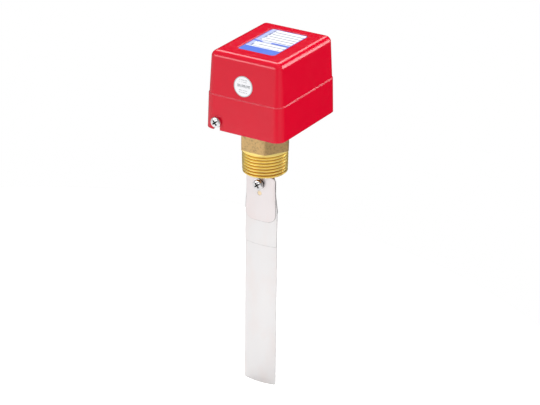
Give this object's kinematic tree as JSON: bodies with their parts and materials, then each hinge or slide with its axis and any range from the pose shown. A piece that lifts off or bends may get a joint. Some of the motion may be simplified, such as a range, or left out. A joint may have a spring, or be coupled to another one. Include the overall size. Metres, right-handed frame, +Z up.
{
  "type": "paddle flow switch",
  "caption": "Paddle flow switch: red box cover over a spring-loaded snap switch, hexagonal brass pipe fitting with a bellows seal, and stacked curved steel leaves on a swinging stem.",
  "frame": {"origin": "on the pipe thread's axis, at the shoulder under the hexagon where the thread ends", "axes": "+Z up along the thread's axis to the cover; -Y is the downstream side that the paddle swings to and the side with the round label; +X along the pivot pin"},
  "size_m": [0.0624, 0.0838, 0.2628],
  "materials": {
    "brass_cast": "rough forged hexagon, bright turned thread",
    "brass_turned": "turned",
    "stainless": "rolled stainless sheet and bar, lightly brushed",
    "spring_steel": "spring steel",
    "zinc_steel": "zinc plated",
    "gasket_fibre": "pressed fibre",
    "black_rubber": "moulded, matt",
    "red_plastic": "glossy moulding with a faint ripple",
    "switch_plastic": "moulded phenolic",
    "plunger_plastic": "smooth",
    "label_film": "printed film, white with a blue border",
    "silver_film": "silvery printed film"
  },
  "bodies": {
    "base": {"pipe_fitting": "brass_cast", "fitting_gasket": "gasket_fibre", "fitting_screws": "zinc_steel", "bellows": "brass_turned", "clamp_ring": "brass_turned", "base_plate": "zinc_steel", "cable_grommet": "black_rubber", "ground_screw": "brass_turned", "ground_washer": "brass_turned", "chassis_bracket": "zinc_steel", "chassis_screws": "zinc_steel", "pivot_pin": "stainless", "pivot_clip": "spring_steel", "pivot_spacers": "brass_turned", "stop_pin": "stainless", "range_spring": "spring_steel", "range_nut": "zinc_steel", "switch_bracket": "zinc_steel", "switch_case": "switch_plastic", "switch_screws": "zinc_steel", "terminal_plates": "brass_turned", "terminal_screws": "zinc_steel", "cover_screws": "zinc_steel"},
    "paddle_arm": {"stem": "stainless", "bellows_end": "brass_turned", "pivot_block": "brass_turned", "rocker": "zinc_steel", "rocker_screw": "zinc_steel", "actuator_screw": "stainless", "actuator_nut": "zinc_steel", "short_leaf": "stainless", "medium_leaf": "stainless", "long_leaf": "stainless", "paddle_holder": "brass_turned", "locating_pin": "brass_turned", "flat_washer": "stainless", "spring_washer": "stainless", "paddle_screw": "stainless"},
    "switch_plunger": {"switch_plunger": "plunger_plastic"},
    "range_cup": {"spring_cup": "zinc_steel"},
    "range_screw": {"range_screw": "zinc_steel"},
    "cover": {"cover": "red_plastic", "name_label": "label_film", "round_label": "silver_film"}
  },
  "joints": [
    {"name": "paddle_swing", "type": "hinge", "parent": "base", "child": "paddle_arm", "pos_m": [0, 0, 0.036], "axis": [-1, 0, 0], "range_deg": [0, 5], "stiffness_Nm_per_rad": 0.4, "springref_deg": -8.59, "deforming": ["range_spring", "bellows"]},
    {"name": "plunger_press", "type": "slide", "parent": "base", "child": "switch_plunger", "axis": [0, 0, -1], "range_m": [0, 0.0013]},
    {"name": "range_advance", "type": "slide", "parent": "base", "child": "range_cup", "axis": [0, 0, -1], "range_m": [-0.0015, 0.0015], "deforming": ["range_spring"]},
    {"name": "range_turn", "type": "hinge", "parent": "range_cup", "child": "range_screw", "pos_m": [0, -0.0115, 0.06], "axis": [0, 0, -1], "range_deg": [-675, 675]},
    {"name": "cover_lift", "type": "slide", "parent": "base", "child": "cover", "axis": [0, 0, 1], "range_m": [0, 0.08]}
  ],
  "couplings": [
    {"joint": "plunger_press", "follows": "paddle_swing", "m_per_rad": 0.01475},
    {"joint": "range_turn", "follows": "range_advance", "rad_per_m": 7854}
  ]
}
